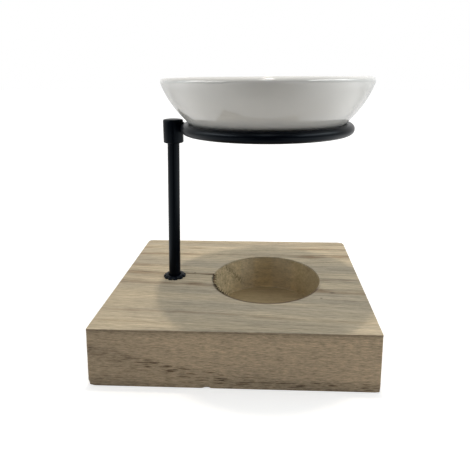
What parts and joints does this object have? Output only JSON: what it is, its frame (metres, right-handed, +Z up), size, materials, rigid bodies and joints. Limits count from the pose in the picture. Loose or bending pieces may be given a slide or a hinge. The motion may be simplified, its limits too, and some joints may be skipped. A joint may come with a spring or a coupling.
{
  "type": "essential oil burner",
  "caption": "Oil burner on a wooden block with a tealight recess: a post carries a swinging metal ring, and a loose glazed bowl rests in the ring over the flame.",
  "frame": {"origin": "centre of the wooden block's underside, which stands on the table", "axes": "+Z up along the post, +X from the post towards the bowl, +Y to the back"},
  "size_m": [0.1021, 0.086, 0.1052],
  "materials": {
    "wood": "bare sanded pale wood with long straight grain",
    "black_metal": "satin black powder coat",
    "zinc_steel": "bright zinc plating",
    "glaze": "glossy white glaze"
  },
  "bodies": {
    "stand": {"base_block": "wood", "post": "black_metal", "foot_flange": "black_metal", "base_washer": "zinc_steel", "base_nut": "zinc_steel"},
    "ring_arm": {"collar": "black_metal", "support_ring": "black_metal"},
    "bowl": {"bowl": "glaze"}
  },
  "joints": [
    {"name": "ring_swing", "type": "hinge", "parent": "stand", "child": "ring_arm", "pos_m": [-0.02685, 0, 0.0842], "axis": [0, 0, 1], "continuous": true},
    {"name": "bowl_lift", "type": "slide", "parent": "ring_arm", "child": "bowl", "axis": [0, 0, 1], "range_m": [0, 0.025]}
  ]
}
